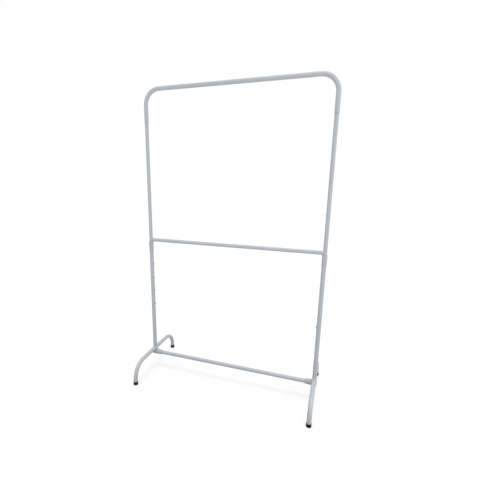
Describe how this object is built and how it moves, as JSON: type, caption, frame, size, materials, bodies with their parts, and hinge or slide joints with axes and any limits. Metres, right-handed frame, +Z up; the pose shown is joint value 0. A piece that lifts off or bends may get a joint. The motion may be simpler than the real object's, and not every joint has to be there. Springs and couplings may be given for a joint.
{
  "type": "clothes rack",
  "caption": "Free-standing tubular clothes rack with a bent hanging rail, a mid bar and a bottom bar, telescopic uprights locked by snap buttons, and arch feet.",
  "frame": {"origin": "on the floor, midway between the two uprights and in their plane", "axes": "+X along the rail to the right, +Y towards the back, +Z up"},
  "size_m": [0.955, 0.483, 1.5633],
  "materials": {
    "grey_paint": "pale blue-grey powder coat, semi-matt",
    "grey_plastic": "moulded pale grey plastic, satin",
    "black_rubber": "moulded black rubber",
    "zinc_steel": "zinc-plated steel",
    "spring_steel": "blued spring steel"
  },
  "bodies": {
    "lower_frame": {"left_arch_foot": "grey_paint", "left_front_cap": "black_rubber", "left_back_cap": "black_rubber", "left_foot_stub": "grey_paint", "left_joint_spigot": "zinc_steel", "left_lower_tube": "grey_paint", "left_spigot_screw": "zinc_steel", "left_collar": "grey_plastic", "left_bar_bracket": "grey_plastic", "left_bracket_bolt": "zinc_steel", "left_bracket_nut": "zinc_steel", "right_arch_foot": "grey_paint", "right_front_cap": "black_rubber", "right_back_cap": "black_rubber", "right_foot_stub": "grey_paint", "right_joint_spigot": "zinc_steel", "right_lower_tube": "grey_paint", "right_spigot_screw": "zinc_steel", "right_collar": "grey_plastic", "right_bar_bracket": "grey_plastic", "right_bracket_bolt": "zinc_steel", "right_bracket_nut": "zinc_steel", "bottom_bar": "grey_paint"},
    "upper_frame": {"left_upper_tube": "grey_paint", "left_guide_bush": "grey_plastic", "left_bar_plug": "grey_plastic", "left_bar_bolt": "zinc_steel", "left_bar_nut": "zinc_steel", "left_rail_screw": "zinc_steel", "right_upper_tube": "grey_paint", "right_guide_bush": "grey_plastic", "right_bar_plug": "grey_plastic", "right_bar_bolt": "zinc_steel", "right_bar_nut": "zinc_steel", "right_rail_screw": "zinc_steel", "top_rail": "grey_paint", "mid_bar": "grey_paint"},
    "left_button": {"left_snap_clip": "spring_steel"},
    "right_button": {"right_snap_clip": "spring_steel"}
  },
  "joints": [
    {"name": "height_slide", "type": "slide", "parent": "lower_frame", "child": "upper_frame", "axis": [0, 0, 1], "range_m": [0, 0.24]},
    {"name": "left_button_press", "type": "slide", "parent": "upper_frame", "child": "left_button", "axis": [-1, 0, 0], "range_m": [0, 0.0045], "stiffness_N_per_m": 1500, "deforming": ["left_snap_clip"]},
    {"name": "right_button_press", "type": "slide", "parent": "upper_frame", "child": "right_button", "axis": [1, 0, 0], "range_m": [0, 0.0045], "stiffness_N_per_m": 1500, "deforming": ["right_snap_clip"]}
  ]
}
